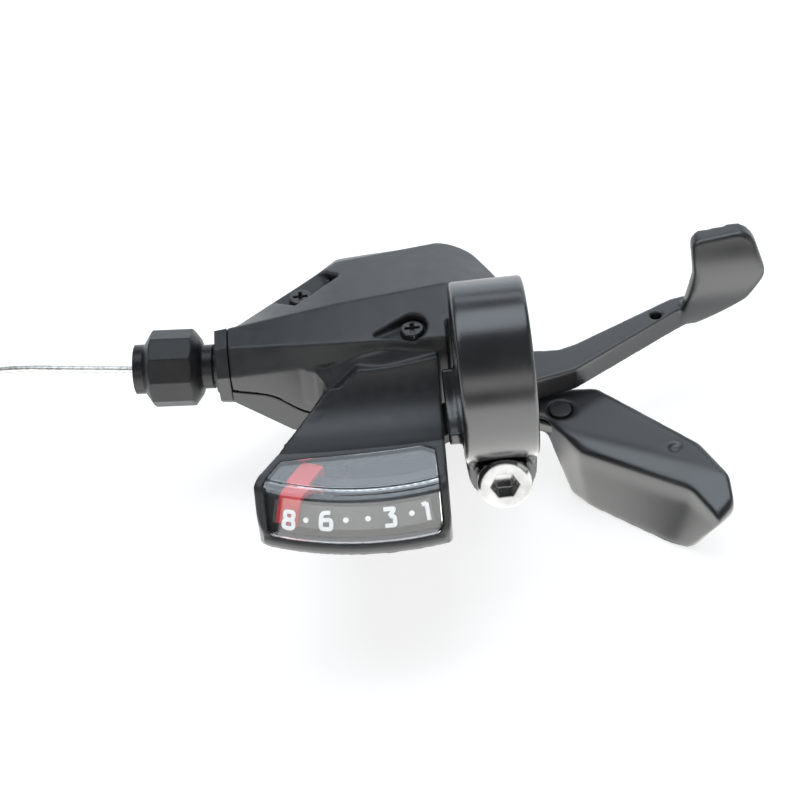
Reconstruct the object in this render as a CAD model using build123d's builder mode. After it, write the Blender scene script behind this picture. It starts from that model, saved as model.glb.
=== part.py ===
from build123d import *
import math
import os

# Right-hand trigger gear shifter for a 22.2 mm handlebar, all sizes in millimetres.
# Origin at the centre of the bar bore, +X along the bar towards the grip,
# +Y forward away from the rider, +Z up along the lever axle.

os.makedirs("parts", exist_ok=True)


def finish(builder, node):
    builder.part.label = node
    export_step(builder.part, f"parts/{node}.step")


def polar(centre, radius, angle):
    return (
        centre[0] + radius * math.cos(math.radians(angle)),
        centre[1] + radius * math.sin(math.radians(angle)),
    )


# Fits and walls
running_gap = 0.05
seat_gap = 0.1
free_gap = 0.4
cover_wall = 1.5

# Handlebar clamp
bar_radius = 11.1
band_wall = 2.9
band_width = 11.4
bar_clearance = 0.6
bolt_tilt = 14.0
bolt_drop = 15.6
bolt_radius = 2.5
bolt_head_radius = 4.25
bolt_head_height = 4.6
bolt_hex = 4.0
bolt_seat = 4.4
bolt_reach = 10.6
slit_width = 1.6
lug_radius = 4.0
lug_shoulder = 3.6
lug_top = 10.4
lug_cover = 0.4
ring_edge = 0.6

# Lever axle and its stack, heights of upper faces
axle_at = (-15.0, 28.5)
axle_radius = 2.5
plate_top = -15.2
plate_thick = 1.4

# Cable line: height of the groove and angle of the run in plan
cable_height = -10.6
cable_angle = 5.5
cable_at = (-50.0, 20.4)
cable_radius = 0.55

# Gear window, swept about the pointer pivot
pivot_reach = 13.3
pivot_lean = 14.0
lens_thick = 1.2

pivot_at = (
    axle_at[0] - pivot_reach * math.sin(math.radians(pivot_lean)),
    axle_at[1] - pivot_reach * math.cos(math.radians(pivot_lean)),
)
cable_lean = math.radians(cable_angle)
cable_step = (axle_at[0] - cable_at[0], axle_at[1] - cable_at[1])
spool_radius = cable_step[1] * math.cos(cable_lean) + cable_step[0] * math.sin(cable_lean)
pivot_axis = Axis((pivot_at[0], pivot_at[1], 0), (0, 0, 1))
saddle_radius = bar_radius + bar_clearance
band_radius = bar_radius + band_wall

# Clamp bracket: one cast ring with a split lug below the bar and a foot that carries the base plate
bolt_plane = Plane(
    origin=(
        0,
        -bolt_drop * math.sin(math.radians(bolt_tilt)),
        -bolt_drop * math.cos(math.radians(bolt_tilt)),
    ),
    x_dir=(1, 0, 0),
    z_dir=(0, -math.cos(math.radians(bolt_tilt)), math.sin(math.radians(bolt_tilt))),
)
foot_front = 22.0
foot_height = 6.0
foot_lip = 1.6
foot_half = 4.6
saddle_lip = 2.0
slit_offset = 1.2
lip_inner = bar_radius + bar_clearance / 2
lip_outer = band_radius - 0.4
lip_start = -98.0
lip_sweep = 60.0
spot_face = bolt_head_height * 0.45

with BuildPart() as bracket:
    with BuildSketch(Plane.YZ.offset(-band_width / 2)):
        Circle(band_radius)
    extrude(amount=band_width)
    fillet(bracket.edges().filter_by(GeomType.CIRCLE), ring_edge)
    with BuildSketch(bolt_plane.offset(-bolt_reach - lug_cover)):
        with BuildLine():
            CenterArc((0, 0), lug_radius, 180, 180)
            Polyline(
                (-lug_radius, 0),
                (-band_width / 2, lug_shoulder),
                (-band_width / 2, lug_top),
                (band_width / 2, lug_top),
                (band_width / 2, lug_shoulder),
                (lug_radius, 0),
            )
        make_face()
    extrude(amount=bolt_reach + lug_cover + bolt_seat + spot_face)
    with BuildSketch(Plane.YZ.offset(-foot_half)):
        with BuildLine():
            Polyline(
                (8, plate_top + foot_height),
                (8, plate_top),
                (foot_front, plate_top),
                (foot_front, plate_top + foot_lip),
                (14.6, plate_top + foot_lip),
                (12, plate_top + foot_height),
                close=True,
            )
        make_face()
    extrude(amount=2 * foot_half)
    with BuildSketch(Plane.YZ.offset(-band_width / 2 - saddle_lip)):
        with BuildLine():
            CenterArc((0, 0), lip_inner, lip_start, lip_sweep)
            CenterArc((0, 0), lip_outer, lip_start, lip_sweep)
            Line(polar((0, 0), lip_inner, lip_start), polar((0, 0), lip_outer, lip_start))
            Line(
                polar((0, 0), lip_inner, lip_start + lip_sweep),
                polar((0, 0), lip_outer, lip_start + lip_sweep),
            )
        make_face()
    extrude(amount=saddle_lip)
    with BuildSketch(Plane.YZ.offset(-band_width)):
        Circle(bar_radius)
    extrude(amount=2 * band_width, mode=Mode.SUBTRACT)
    with BuildSketch(bolt_plane.offset(slit_offset - slit_width / 2)):
        Rectangle(2 * band_width, 2 * lug_top)
    extrude(amount=slit_width, mode=Mode.SUBTRACT)
    with Locations(bolt_plane.offset(bolt_seat + spot_face)):
        CounterBoreHole(bolt_radius + seat_gap, bolt_head_radius + free_gap, spot_face)
finish(bracket, "clamp_bracket")

# Clamp bolt: socket head screw that draws the two lugs together
with BuildPart() as bolt:
    with BuildSketch(bolt_plane.offset(bolt_seat)):
        Circle(bolt_head_radius)
    extrude(amount=bolt_head_height)
    chamfer(bolt.faces().sort_by(Axis(bolt_plane.origin, bolt_plane.z_dir))[-1].edges(), 0.5)
    with BuildSketch(bolt_plane.offset(bolt_seat)):
        Circle(bolt_radius)
    extrude(amount=-bolt_seat - bolt_reach)
    with BuildSketch(bolt_plane.offset(bolt_seat + bolt_head_height)):
        RegularPolygon(bolt_hex / 2, 6, major_radius=False)
    extrude(amount=-bolt_head_height * 0.6, mode=Mode.SUBTRACT)
finish(bolt, "clamp_bolt")

# Housing: the plan outline that the covers share, drawn smaller for the hollow inside
drum_radius = 16.4
housing_left = -41.5
housing_right = 6.8
front_left = 13.6
front_right = saddle_radius + 0.1
ring_side = -band_width / 2 - 0.5
behind_ring = band_radius + 1.2
drum_start = 30.0
drum_end = 130.0


def drum_tangent(angle, x, radius):
    lean = math.radians(angle)
    return axle_at[1] + (radius - (x - axle_at[0]) * math.cos(lean)) / math.sin(lean)


def housing_outline(plane, inset):
    radius = drum_radius - inset
    left = housing_left + inset
    right = housing_right - inset
    with BuildSketch(plane) as outline:
        with BuildLine():
            Polyline(
                polar(axle_at, radius, drum_end),
                (left, drum_tangent(drum_end, left, radius)),
                (left, front_left + inset),
                (ring_side - inset, front_right + inset),
                (ring_side - inset, behind_ring + inset),
                (right, behind_ring + inset),
                (right, drum_tangent(drum_start, right, radius)),
                polar(axle_at, radius, drum_start),
            )
            CenterArc(axle_at, radius, drum_start, drum_end - drum_start)
        make_face()
    return outline.sketch


# Roof of the cover: faceted sections across X, from the eight-sided cable end to the drum
skirt_low = -30.0
roof_sections = [
    (housing_left, [(13.7, -8.2), (17.2, -4.7), (22.0, -4.7), (25.5, -8.2), (27.2, -13.0)]),
    (-23.0, [(12.5, -6.6), (14.1, -3.6), (22.0, -1.9), (36.6, -4.9), (48.0, -13.0)]),
    (-6.0, [(11.7, -5.5), (12.0, -2.9), (22.0, 0.0), (38.5, -4.6), (48.5, -13.0)]),
]
shoulder_end = [(12.0, -13.0), (14.5, -9.5), (20.0, -7.6), (27.0, -8.6), (30.5, -13.0)]
shoulder_shares = [0, 0.35, 0.65, 0.85, 1.0]


def roof_section(x, ridge, inset):
    with BuildSketch(Plane.YZ.offset(x)) as section:
        with BuildLine():
            Polyline((ridge[0][0], skirt_low), *ridge, (ridge[-1][0], skirt_low), close=True)
        make_face()
        if inset:
            offset(amount=-inset, kind=Kind.INTERSECTION)
    return section.sketch


def shoulder_ridge(share):
    start = roof_sections[-1][1]
    return [
        (a[0] + (b[0] - a[0]) * share**1.7, a[1] + (b[1] - a[1]) * share**2)
        for a, b in zip(start, shoulder_end)
    ]


def roof(inset):
    drum_edge = roof_sections[-1][0]
    with BuildPart() as block:
        for x, ridge in roof_sections:
            add(roof_section(x, ridge, inset))
        loft(ruled=True)
        for share in shoulder_shares:
            x = drum_edge + (housing_right - drum_edge) * share
            add(roof_section(x, shoulder_ridge(share), inset))
        loft()
    return block.part


# Window and neck: one section swept about the pointer pivot, bent down towards the rider
bend_reach = 37.5
lip_reach = bend_reach - 9.5
brow_reach = bend_reach + 2.5
sill_reach = brow_reach + 3.3
window_end = sill_reach + 0.25
lip_height = -3.0
bend_height = -1.0
brow_height = bend_height - 0.9
sill_height = brow_height - 4.95
window_foot = sill_height - 2.4
neck_foot = plate_top - plate_thick - 0.2
neck_slope = bend_reach - 4.0
window_left = -37.7
window_right = -9.0
window_corner = 3.5
window_shoulder = 4.6
window_apex = (pivot_at[0], pivot_at[1] - window_end - 5.0)


def front_corner(x):
    return (x, pivot_at[1] - math.sqrt(window_end**2 - (x - pivot_at[0]) ** 2))


neck_root = front_right + 2.0
neck_right = window_right + 1.0
neck_root_step = 3.2
neck_side = [
    (-27.9, 9.5),
    (-33.7, 1.6),
    (-33.4, 1.2 - saddle_radius),
    (window_left, front_corner(window_left)[1] + window_shoulder),
]
facet_heights = (-11.2, -13.7)
facet_width = 8.0
facet_rise = 5.8
facet_drop = 1.3

pivot_plane = Plane(origin=(pivot_at[0], pivot_at[1], 0), x_dir=(0, -1, 0), z_dir=(-1, 0, 0))


def window_section(depth, foot):
    with BuildSketch(pivot_plane) as section:
        with BuildLine():
            Polyline(
                (window_end - depth, window_foot + foot),
                (sill_reach - depth, sill_height),
                (brow_reach - depth * 0.6, brow_height - depth * 0.6),
            )
            Spline(
                (brow_reach - depth * 0.6, brow_height - depth * 0.6),
                (bend_reach, bend_height - depth),
                tangents=((-0.6, 0.8), (-1, -0.2)),
            )
            Polyline(
                (bend_reach, bend_height - depth),
                (lip_reach, lip_height - depth),
                (0, lip_height - depth - 4),
                (0, neck_foot + foot),
                (neck_slope, neck_foot + foot),
                (window_end - depth, window_foot + foot),
            )
        make_face()
    return section.sketch


def neck_outline(inset):
    with BuildSketch(Plane.XY.offset(skirt_low)) as outline:
        with BuildLine():
            Polyline(
                (neck_side[0][0] + neck_root_step, neck_root + 3 * inset),
                *neck_side,
                front_corner(window_left),
                window_apex,
                front_corner(window_right),
                (neck_right, neck_root + 3 * inset),
                close=True,
            )
        make_face()
        if inset:
            offset(amount=-inset, kind=Kind.INTERSECTION)
        else:
            for x in (window_left, window_right):
                spot = Vector(*front_corner(x))
                fillet(outline.vertices().sort_by_distance(spot + Vector(0, 0, skirt_low))[0], window_corner)
    return outline.sketch


def neck(inset, depth, foot):
    with BuildPart() as block:
        add(window_section(depth, foot))
        revolve(axis=pivot_axis)
        add(neck_outline(inset))
        extrude(amount=-2 * skirt_low, mode=Mode.INTERSECT)
        start = Vector(*neck_side[0], facet_heights[0])
        run = Vector(*neck_side[1], facet_heights[1]) - start
        across = Vector(-run.Y, run.X, 0)
        drop = Vector(0, 0, facet_drop * inset)
        with BuildSketch(Plane(origin=start - drop, x_dir=across, z_dir=run)):
            with BuildLine():
                Polyline(
                    (0, 0),
                    (facet_width, facet_rise),
                    (-facet_width, facet_rise),
                    (-facet_width, 0),
                    close=True,
                )
            make_face()
        extrude(amount=run.length, both=True, mode=Mode.SUBTRACT)
    return block.part


# Parting line between the covers, seen from the rider: it dips where the neck begins
seam_start = (-60.0, -6.8)
seam_left = -12.0
seam_right = neck_foot
seam_dip = (-37.0, -29.5)


def above_seam(gap):
    with BuildPart() as curtain:
        with BuildSketch(Plane.XZ.offset(-60)):
            with BuildLine():
                Polyline(
                    (seam_start[0], 10),
                    (seam_start[0], seam_start[1] + gap),
                    (seam_dip[0], seam_left + gap),
                )
                Spline(
                    (seam_dip[0], seam_left + gap),
                    (seam_dip[1], seam_right + gap),
                    tangents=((1, -0.2), (1, -0.4)),
                )
                Polyline(
                    (seam_dip[1], seam_right + gap),
                    (20, seam_right + gap),
                    (20, 10),
                    (seam_start[0], 10),
                )
            make_face()
        extrude(amount=60 - front_right + 1)
        with BuildSketch(Plane.XZ.offset(1 - front_right)):
            with Locations((-20, -15)):
                Rectangle(80, 50)
        extrude(amount=60)
    return curtain.part


hood_outer = roof(0)
neck_outer = neck(0, 0, 0)
upper_half = above_seam(0)

# Room that the window lens needs in the cover
window_rim = 1.5
window_rim_right = 1.2
lens_top = [
    (-33.5, -saddle_radius - 1.9),
    (-28.7, -saddle_radius - 1.2),
    (-12.3, -saddle_radius - 0.5),
]
lens_left_top = front_corner(window_left)[1] + 4.3
lens_right_top = -saddle_radius - 2.2
lens_corner = 1.6


def lens_outline(inset):
    with BuildSketch(Plane.XY.offset(skirt_low)) as outline:
        with BuildLine():
            side_left = window_left + window_rim + inset
            side_right = window_right - window_rim_right - inset
            reach = sill_reach - inset
            low_left = pivot_at[1] - math.sqrt(reach**2 - (side_left - pivot_at[0]) ** 2)
            low_right = pivot_at[1] - math.sqrt(reach**2 - (side_right - pivot_at[0]) ** 2)
            Polyline(
                (side_left, low_left),
                (side_left, lens_left_top - inset),
                *[(x, y - inset) for x, y in lens_top],
                (side_right, lens_right_top - inset),
                (side_right, low_right),
            )
            ThreePointArc(
                (side_left, low_left),
                (pivot_at[0], pivot_at[1] - reach),
                (side_right, low_right),
            )
        make_face()
        fillet(outline.vertices().sort_by(Axis.Y)[:2], lens_corner)
    return outline.sketch


# Hollows of the covers
saddle_wall = 1.5

with BuildPart() as hood:
    add(hood_outer)
    add(housing_outline(Plane.XY.offset(skirt_low), 0))
    extrude(amount=-skirt_low + 10, mode=Mode.INTERSECT)
hood_block = hood.part

with BuildPart() as hood_hollow:
    add(roof(cover_wall))
    add(housing_outline(Plane.XY.offset(skirt_low), cover_wall))
    extrude(amount=-skirt_low + 10, mode=Mode.INTERSECT)
hood_void = hood_hollow.part

with BuildPart() as neck_hollow:
    add(neck(cover_wall, cover_wall, -8))
    with BuildSketch(Plane.YZ.offset(-60)):
        Circle(saddle_radius + saddle_wall)
    extrude(amount=80, mode=Mode.SUBTRACT)
neck_void = neck_hollow.part

# Where the cable enters: plane of the collar, its normal pointing out along the cable
plug_radius = 4.4
collar_reach = 6.4
cable_out = (-math.cos(cable_lean), math.sin(cable_lean), 0)
cable_socket = Plane(
    origin=(
        cable_at[0] - collar_reach * cable_out[0],
        cable_at[1] - collar_reach * cable_out[1],
        cable_height,
    ),
    x_dir=(-cable_out[1], cable_out[0], 0),
    z_dir=cable_out,
)

# Cover screws: x, y and the height of the seat under each head
screw_head_radius = 2.0
screw_head_height = 1.1
screw_radius = 1.0
screw_length = 6.0
screw_boss_depth = 2.2
post_radius = 1.3
front_screw = (-11.6, 15.1, -3.9)
rear_screw = (-29.3, 29.2, -6.6)
screw_seats = [front_screw, rear_screw]
recess_wall = 0.9
recess_tail = (-5.9, -0.4)
tail_radius = 0.35
notch_size = (10.0, 10.4)
notch_shift = (1.8, 2.8)


def front_recess(margin):
    with BuildSketch(Plane.XY.offset(front_screw[2])) as outline:
        with Locations(front_screw[:2]):
            Circle(screw_head_radius + free_gap + margin)
            with Locations(recess_tail):
                Circle(tail_radius + margin)
        make_hull()
    return outline.sketch


def rear_recess(margin):
    with BuildSketch(Plane.XY.offset(rear_screw[2])) as outline:
        with Locations(Location((rear_screw[0], rear_screw[1], 0), (0, 0, drum_end - 90))):
            with Locations(notch_shift):
                Rectangle(notch_size[0] + 2 * margin, notch_size[1] + 2 * margin)
    return outline.sketch


with BuildPart() as recess_floors:
    add(front_recess(recess_wall))
    add(rear_recess(recess_wall))
    extrude(amount=-screw_boss_depth)
    add(hood_block, mode=Mode.INTERSECT)

# Top cover: moulded shell with the saddle for the bar, the neck and the window frame in one piece
with BuildPart() as top_cover:
    add(hood_block)
    add(neck_outer)
    with BuildSketch(Plane.YZ.offset(-60)):
        Circle(saddle_radius)
    extrude(amount=80, mode=Mode.SUBTRACT)
    add(upper_half, mode=Mode.INTERSECT)
    add(hood_void, mode=Mode.SUBTRACT)
    add(neck_void, mode=Mode.SUBTRACT)
    add(lens_outline(0))
    extrude(amount=-skirt_low + 10, mode=Mode.SUBTRACT)
    with BuildSketch(Plane.XY.offset(skirt_low)):
        with Locations((0, behind_ring)):
            Rectangle(band_width + 2 * free_gap, 4 * cover_wall)
    extrude(amount=plate_top + foot_lip + free_gap - skirt_low, mode=Mode.SUBTRACT)
    with BuildSketch(cable_socket):
        Circle(plug_radius + seat_gap)
    extrude(amount=8, both=True, mode=Mode.SUBTRACT)
    add(recess_floors.part)
    add(front_recess(0))
    add(rear_recess(0))
    extrude(amount=10, mode=Mode.SUBTRACT)
    for x, y, z in screw_seats:
        with BuildSketch(Plane.XY.offset(z - 5)):
            with Locations((x, y)):
                Circle(screw_radius + seat_gap)
        extrude(amount=10, mode=Mode.SUBTRACT)
finish(top_cover, "top_cover")

# Cover screws: two cross-head screws, and the threaded posts on the base plate that take them
with BuildPart() as screws:
    for x, y, z in screw_seats:
        with BuildSketch(Plane.XY.offset(z)):
            with Locations((x, y)):
                Circle(screw_head_radius)
        extrude(amount=screw_head_height, taper=12)
        with BuildSketch(Plane.XY.offset(z)):
            with Locations((x, y)):
                Circle(screw_radius)
        extrude(amount=-screw_length)
        with BuildSketch(Plane.XY.offset(z + screw_head_height)):
            with Locations((x, y)):
                Rectangle(2.4, 0.6)
                Rectangle(0.6, 2.4)
        extrude(amount=-0.8, mode=Mode.SUBTRACT)
finish(screws, "cover_screws")

with BuildPart() as posts:
    for x, y, z in screw_seats:
        post_height = z - screw_boss_depth - plate_top
        with BuildSketch(Plane.XY.offset(plate_top)):
            with Locations((x, y)):
                Circle(post_radius)
        extrude(amount=post_height)
        with BuildSketch(Plane.XY.offset(plate_top + post_height)):
            with Locations((x, y)):
                Circle(screw_radius)
        extrude(amount=-screw_length, mode=Mode.SUBTRACT)
finish(posts, "cover_posts")

# Window lens: clear moulding that follows the bend of the frame
with BuildPart() as lens:
    add(window_section(0, 0))
    revolve(axis=pivot_axis)
    add(window_section(lens_thick, -8))
    revolve(axis=pivot_axis, mode=Mode.SUBTRACT)
    add(lens_outline(seat_gap))
    extrude(amount=-skirt_low + 10, mode=Mode.INTERSECT)
    with BuildSketch(Plane.XY.offset(skirt_low)):
        Rectangle(200, 200)
    extrude(amount=sill_height - 0.4 - skirt_low, mode=Mode.SUBTRACT)
finish(lens, "window_lens")

# Dial plate: dark plate behind the pointer, bent like the lens
flag_depth = lens_thick + 0.5
flag_thick = 0.8
dial_depth = flag_depth + flag_thick + 0.5
dial_under = dial_depth + 1.0
dial_low = window_foot - 0.6
riser_reach = lip_reach + 3.6
riser_half = 0.6
dial_start = riser_reach + riser_half + free_gap
lip_slope = (bend_height - lip_height) / (bend_reach - lip_reach)


def roof_line(reach, depth):
    return bend_height - (bend_reach - reach) * lip_slope - depth


def brow_point(depth, share):
    start = (brow_reach - depth * 0.6, brow_height - depth * 0.6)
    end = (sill_reach - depth, sill_height)
    return (start[0] + (end[0] - start[0]) * share, start[1] + (end[1] - start[1]) * share)


with BuildPart() as dial:
    with BuildSketch(pivot_plane):
        with BuildLine():
            Polyline(
                (sill_reach - dial_depth, dial_low),
                brow_point(dial_depth, 1),
                brow_point(dial_depth, 0),
                (bend_reach, bend_height - dial_depth),
                (dial_start, roof_line(dial_start, dial_depth)),
                (dial_start, roof_line(dial_start, dial_under)),
                (bend_reach, bend_height - dial_under),
                brow_point(dial_under, 0),
                brow_point(dial_under, 1),
                (sill_reach - dial_under, dial_low),
                close=True,
            )
        make_face()
    revolve(axis=pivot_axis)
    add(neck_outline(cover_wall + seat_gap))
    extrude(amount=-skirt_low + 10, mode=Mode.INTERSECT)
    with BuildSketch(Plane.YZ.offset(-60)):
        Circle(saddle_radius + saddle_wall + seat_gap)
    extrude(amount=80, mode=Mode.SUBTRACT)
finish(dial, "dial_plate")

# Cable spool: turned drum with one groove for the cable and a cup for its spiral spring
click_angle = 14.0
clicks = 7
spool_turn = click_angle * clicks
groove_half = 0.7
flange_rise = 0.7
flange_thick = 0.6
spool_top = cable_height + groove_half + flange_thick
spool_low = cable_height - groove_half - flange_thick
hub_radius = 4.0
cup_radius = 9.6
head_radius = 2.2
head_length = 4.4
head_turn = 45.0
tangent_angle = 270.0 - cable_angle

axle_plane = Plane(origin=(axle_at[0], axle_at[1], 0), x_dir=(1, 0, 0), z_dir=(0, 0, 1))
axle_section = Plane(origin=(axle_at[0], axle_at[1], 0), x_dir=(1, 0, 0), z_dir=(0, -1, 0))
axle_line = Axis((axle_at[0], axle_at[1], 0), (0, 0, 1))
head_spot = polar(axle_at, spool_radius, tangent_angle + head_turn)
head_plane = Plane(
    origin=(head_spot[0], head_spot[1], cable_height),
    x_dir=(0, 0, 1),
    z_dir=(
        -math.sin(math.radians(tangent_angle + head_turn)),
        math.cos(math.radians(tangent_angle + head_turn)),
        0,
    ),
)

with BuildPart() as spool:
    with BuildSketch(axle_section):
        with BuildLine():
            Polyline(
                (axle_radius + running_gap, spool_low),
                (spool_radius + flange_rise, spool_low),
                (spool_radius + flange_rise, cable_height - groove_half),
                (spool_radius - cable_radius - running_gap, cable_height - groove_half),
                (spool_radius - cable_radius - running_gap, cable_height + groove_half),
                (spool_radius + flange_rise, cable_height + groove_half),
                (spool_radius + flange_rise, spool_top),
                (cup_radius, spool_top),
                (cup_radius, spool_low + flange_thick),
                (hub_radius, spool_low + flange_thick),
                (hub_radius, spool_top),
                (axle_radius + running_gap, spool_top),
                close=True,
            )
        make_face()
    revolve(axis=axle_line)
    with BuildSketch(head_plane):
        Circle(head_radius + seat_gap)
    extrude(amount=head_length / 2 + seat_gap, both=True, mode=Mode.SUBTRACT)
finish(spool, "cable_spool")

# Cable head: the cast end of the cable in its pocket, with the short wrap of cable up to the tangent point
with BuildPart() as cable_head:
    with BuildSketch(head_plane):
        Circle(head_radius)
    extrude(amount=head_length / 2, both=True)
    wrap_start = polar(axle_at, spool_radius, tangent_angle + 2)
    with BuildSketch(
        Plane(
            origin=(wrap_start[0], wrap_start[1], cable_height),
            x_dir=(0, 0, 1),
            z_dir=(
                -math.sin(math.radians(tangent_angle + 2)),
                math.cos(math.radians(tangent_angle + 2)),
                0,
            ),
        )
    ):
        Circle(cable_radius)
    revolve(axis=axle_line, revolution_arc=head_turn - 4)
finish(cable_head, "cable_head")

# Ratchet wheel: blanked plate under the spool with saw teeth and the peg that drives the pointer
pawl_hub = 1.5
pin_reach = drum_radius - cover_wall - free_gap - pawl_hub
tooth_tip = pin_reach - 2.6
tooth_root = tooth_tip - 1.4
tooth_first = -24.0
tooth_count = 15
ratchet_thick = 1.2
ratchet_top = spool_low
ratchet_low = ratchet_top - ratchet_thick
peg_radius = 0.8
peg_reach = 5.5
pointer_thick = 1.0
pointer_top = ratchet_low - free_gap
pointer_low = pointer_top - pointer_thick
spool_half = spool_turn / 2
lever_heading = 90.0 - pivot_lean
peg_heading = lever_heading - spool_half
peg_at = polar(axle_at, peg_reach, peg_heading)

with BuildPart() as ratchet:
    with BuildSketch(Plane.XY.offset(ratchet_low)):
        with Locations(axle_at):
            Circle(tooth_root)
        for tooth in range(tooth_count):
            heel = tooth_first + tooth * click_angle
            with BuildLine():
                Polyline(
                    polar(axle_at, tooth_root - 1, heel),
                    polar(axle_at, tooth_root, heel),
                    polar(axle_at, tooth_tip, heel + 0.8 * click_angle),
                    polar(axle_at, tooth_tip, heel + 0.9 * click_angle),
                    polar(axle_at, tooth_root - 1, heel + 0.95 * click_angle),
                    close=True,
                )
            make_face()
        with Locations(axle_at):
            Circle(axle_radius + running_gap, mode=Mode.SUBTRACT)
    extrude(amount=ratchet_thick)
    with BuildSketch(Plane.XY.offset(ratchet_low)):
        with Locations(peg_at):
            Circle(peg_radius)
    extrude(amount=-pointer_thick - 0.5)
finish(ratchet, "ratchet_wheel")


# Spiral springs: half circles whose radius grows by half a pitch each time
def spiral(inner, pitch, halves, height, width, wire):
    with BuildPart() as spring:
        with BuildSketch(axle_plane.offset(height)) as coil:
            with BuildLine() as line:
                for half in range(halves):
                    radius = inner + half * pitch / 2
                    shift = (pitch / 4) * (-1 if half % 2 else 1)
                    CenterArc((shift, 0), radius, 180 * (half % 2), 180)
            trace(line.edges(), line_width=wire)
        extrude(amount=width)
    return spring


spring_wire = 0.5
spool_spring = spiral(hub_radius + 0.9, 1.4, 6, spool_low + flange_thick + free_gap, 1.3, spring_wire)
finish(spool_spring, "spool_spring")

# Gear pointer: flat arm driven by the peg, swung about its pin, with a red flag under the lens
pointer_half = math.degrees(
    math.atan2(
        peg_reach * math.sin(math.radians(spool_half)),
        pivot_reach + peg_reach * math.cos(math.radians(spool_half)),
    )
)
flag_lean = 6.2
flag_half_width = 1.7
arm_half_width = 1.8
pin_radius = 1.2
yoke_radius = 8.2
lever_angle = lever_heading - pointer_half
flag_angle = 270.0 - flag_lean - pointer_half
lever_plane = Plane(
    origin=(pivot_at[0], pivot_at[1], pointer_low),
    x_dir=(math.cos(math.radians(lever_angle)), math.sin(math.radians(lever_angle)), 0),
    z_dir=(0, 0, 1),
)
flag_skew = 6.7
riser_at = polar(pivot_at, riser_reach, flag_angle)


def upright_plane(through, heading, before):
    along = (math.cos(math.radians(heading)), math.sin(math.radians(heading)), 0)
    return Plane(
        origin=(through[0] - before * along[0], through[1] - before * along[1], 0),
        x_dir=along,
        z_dir=(along[1], -along[0], 0),
    )


axle_room = axle_radius + free_gap
axle_swing = pivot_reach * math.sin(math.radians(pointer_half))


with BuildPart() as pointer:
    with BuildSketch(lever_plane):
        Circle(2.6)
        with Locations((pivot_reach / 2, 0)):
            Rectangle(pivot_reach, 5.2)
        with Locations((pivot_reach, 0)):
            Circle(yoke_radius)
            RectangleRounded(2 * axle_room + 1, 2 * (axle_room + axle_swing), axle_room, mode=Mode.SUBTRACT)
        with Locations((pivot_reach + peg_reach - 1, 0)):
            Rectangle(5, 2 * (peg_radius + 0.3), mode=Mode.SUBTRACT)
    extrude(amount=pointer_thick)
    with BuildSketch(upright_plane(pivot_at, flag_angle, 0)):
        with Locations((riser_reach / 2, (pointer_low + pointer_top) / 2)):
            Rectangle(riser_reach, pointer_top - pointer_low)
    extrude(amount=arm_half_width, both=True)
    flag_under = flag_depth + flag_thick
    with BuildSketch(upright_plane(riser_at, flag_angle - flag_skew, riser_reach)):
        with BuildLine():
            Polyline(
                (riser_reach - riser_half, pointer_low),
                (riser_reach + riser_half, pointer_low),
                (riser_reach + riser_half, roof_line(riser_reach + riser_half, flag_under)),
                (bend_reach, bend_height - flag_under),
                brow_point(flag_under, 0),
                brow_point(flag_under, 0.85),
                brow_point(flag_depth, 0.85),
                brow_point(flag_depth, 0),
                (bend_reach, bend_height - flag_depth),
                (riser_reach - riser_half, roof_line(riser_reach - riser_half, flag_depth)),
                close=True,
            )
        make_face()
    extrude(amount=flag_half_width, both=True)
    with BuildSketch(Plane.XY.offset(pointer_low)):
        with Locations(pivot_at):
            Circle(pin_radius + running_gap)
    extrude(amount=pointer_thick, mode=Mode.SUBTRACT)
finish(pointer, "gear_pointer")

with BuildPart() as pointer_pin:
    with BuildSketch(Plane.XY.offset(plate_top - plate_thick)):
        with Locations(pivot_at):
            Circle(pin_radius)
    extrude(amount=pointer_top + 0.15 - plate_top + plate_thick)
    with BuildSketch(Plane.XY.offset(pointer_top + 0.15)):
        with Locations(pivot_at):
            Circle(pin_radius + 0.8)
    extrude(amount=0.5)
finish(pointer_pin, "pointer_pin")

# Base plate: blanked steel plate that carries the axle, the posts and the bracket's foot
plate_low = plate_top - plate_thick
plate_left = -34.0
feed_pin_angle = 75.0
feed_pin_radius = 0.8
feed_pin_room = 0.5
thumb_turn = 45.0
hold_pin_angle = 152.0

with BuildPart() as base_plate:
    add(housing_outline(Plane.XY.offset(plate_low), cover_wall + seat_gap))
    extrude(amount=plate_thick)
    with BuildSketch(Plane.XY.offset(plate_low)):
        with Locations((plate_left - 20, 20)):
            Rectangle(40, 80)
        with Locations(axle_at):
            Circle(axle_radius)
        with Locations(pivot_at):
            Circle(pin_radius)
        with Locations(polar(axle_at, pin_reach, hold_pin_angle)):
            Circle(feed_pin_radius)
        with BuildLine():
            slot_half = feed_pin_radius + feed_pin_room
            slot_from = feed_pin_angle - 6
            slot_turn = thumb_turn + 12
            CenterArc(axle_at, pin_reach - slot_half, slot_from, slot_turn)
            CenterArc(axle_at, pin_reach + slot_half, slot_from, slot_turn)
            Line(
                polar(axle_at, pin_reach - slot_half, slot_from),
                polar(axle_at, pin_reach + slot_half, slot_from),
            )
            Line(
                polar(axle_at, pin_reach - slot_half, slot_from + slot_turn),
                polar(axle_at, pin_reach + slot_half, slot_from + slot_turn),
            )
        make_face()
    extrude(amount=plate_thick, mode=Mode.SUBTRACT)
finish(base_plate, "base_plate")

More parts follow.
